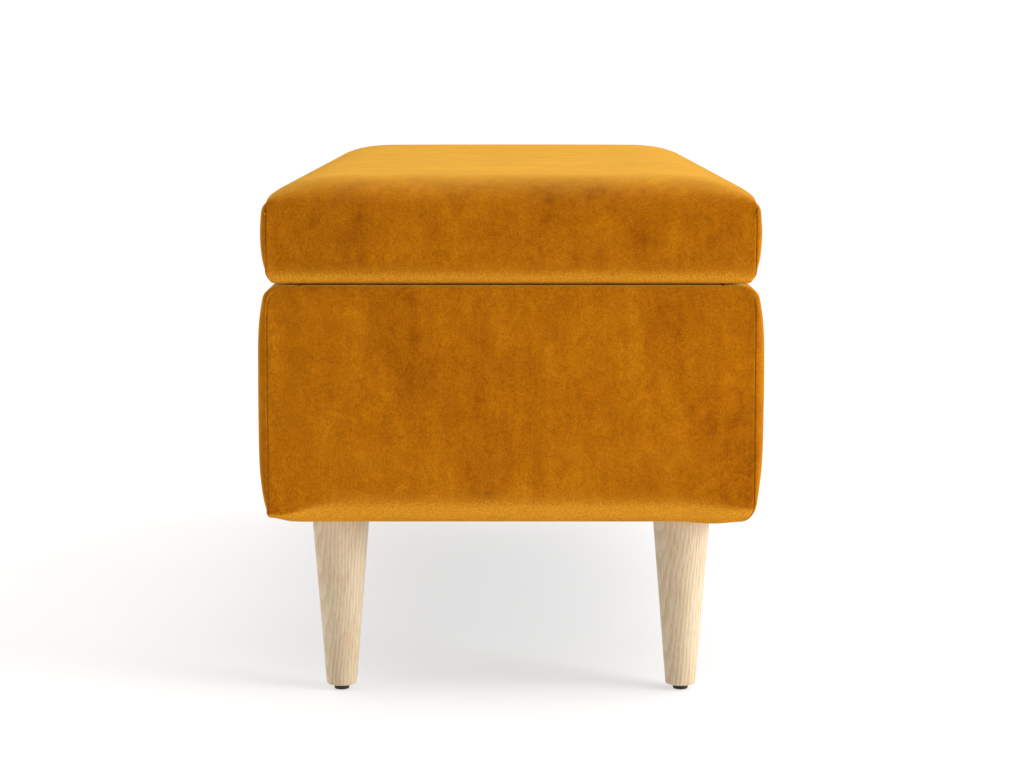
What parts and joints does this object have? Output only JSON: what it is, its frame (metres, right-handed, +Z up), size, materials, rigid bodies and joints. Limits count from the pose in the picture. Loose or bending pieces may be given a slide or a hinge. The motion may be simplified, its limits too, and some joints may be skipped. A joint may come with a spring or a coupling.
{
  "type": "storage ottoman",
  "caption": "Long upholstered storage ottoman: a velvet-covered box on tapered wooden legs, with a padded lid hinged along one long side on gas struts.",
  "frame": {"origin": "on the floor, at the middle of the plan", "axes": "+X along the length, +Y from the front to the hinge side, +Z up"},
  "size_m": [1, 0.45, 0.47],
  "materials": {
    "plywood": "sanded",
    "hardboard": "matt",
    "foam": "open cell",
    "wadding": "fluffy",
    "velvet": "short pile velvet",
    "lining_cloth": "non-woven",
    "pale_ash": "matt lacquer",
    "glide_nylon": "matt",
    "zinc_steel": "zinc plated",
    "hinge_steel": "zinc plated",
    "bracket_steel": "satin",
    "strut_enamel": "satin",
    "strut_plastic": "satin",
    "rod_chrome": "ground"
  },
  "bodies": {
    "box": {"base_board": "plywood", "front_wall": "plywood", "back_wall": "plywood", "left_end_wall": "plywood", "right_end_wall": "plywood", "wall_screws": "zinc_steel", "base_screws": "zinc_steel", "front_foam": "foam", "back_foam": "foam", "left_end_foam": "foam", "right_end_foam": "foam", "front_cover": "velvet", "back_cover": "velvet", "left_end_cover": "velvet", "right_end_cover": "velvet", "storage_lining": "lining_cloth", "storage_floor": "hardboard", "dust_cover": "lining_cloth", "dust_cover_staples": "zinc_steel", "leg_front_left": "pale_ash", "leg_front_right": "pale_ash", "leg_back_left": "pale_ash", "leg_back_right": "pale_ash", "glide_front_left": "glide_nylon", "glide_front_right": "glide_nylon", "glide_back_left": "glide_nylon", "glide_back_right": "glide_nylon", "leg_bolts": "zinc_steel", "leg_tee_nuts": "zinc_steel", "left_hinge_box_leaf": "hinge_steel", "right_hinge_box_leaf": "hinge_steel", "left_hinge_pin": "hinge_steel", "right_hinge_pin": "hinge_steel", "hinge_box_screws": "zinc_steel", "left_strut_box_bracket": "bracket_steel", "right_strut_box_bracket": "bracket_steel", "strut_box_screws": "zinc_steel"},
    "lid": {"lid_board": "plywood", "lid_foam": "foam", "lid_wadding": "wadding", "lid_band": "velvet", "lid_front_gusset": "velvet", "lid_back_gusset": "velvet", "lid_lining": "lining_cloth", "left_hinge_lid_leaf": "hinge_steel", "right_hinge_lid_leaf": "hinge_steel", "hinge_lid_screws": "zinc_steel", "left_strut_lid_bracket": "bracket_steel", "right_strut_lid_bracket": "bracket_steel", "strut_lid_screws": "zinc_steel"},
    "left_strut_tube": {"left_strut_tube": "strut_enamel", "left_strut_lower_eye": "strut_plastic", "left_strut_gland": "strut_plastic"},
    "left_strut_rod": {"left_strut_rod": "rod_chrome", "left_strut_upper_eye": "strut_plastic"},
    "right_strut_tube": {"right_strut_tube": "strut_enamel", "right_strut_lower_eye": "strut_plastic", "right_strut_gland": "strut_plastic"},
    "right_strut_rod": {"right_strut_rod": "rod_chrome", "right_strut_upper_eye": "strut_plastic"}
  },
  "joints": [
    {"name": "lid_hinge", "type": "hinge", "parent": "box", "child": "lid", "pos_m": [0, 0.216, 0.3762], "axis": [-1, 0, 0], "range_deg": [0, 80]},
    {"name": "left_strut_swing", "type": "hinge", "parent": "box", "child": "left_strut_tube", "pos_m": [-0.455, 0.176, 0.3412], "axis": [-1, 0, 0], "range_deg": [-0.5, 81]},
    {"name": "left_strut_extend", "type": "slide", "parent": "left_strut_tube", "child": "left_strut_rod", "axis": [0, -0.9925, 0.1226], "range_m": [-0.0005, 0.069]},
    {"name": "right_strut_swing", "type": "hinge", "parent": "box", "child": "right_strut_tube", "pos_m": [0.455, 0.176, 0.3412], "axis": [-1, 0, 0], "range_deg": [-0.5, 81]},
    {"name": "right_strut_extend", "type": "slide", "parent": "right_strut_tube", "child": "right_strut_rod", "axis": [0, -0.9925, 0.1226], "range_m": [-0.0005, 0.069]}
  ],
  "couplings": [
    {"joint": "left_strut_swing", "follows": "lid_hinge", "ratio": 1.0063},
    {"joint": "left_strut_extend", "follows": "lid_hinge", "m_per_rad": 0.04892},
    {"joint": "right_strut_swing", "follows": "lid_hinge", "ratio": 1.0063},
    {"joint": "right_strut_extend", "follows": "lid_hinge", "m_per_rad": 0.04892}
  ]
}
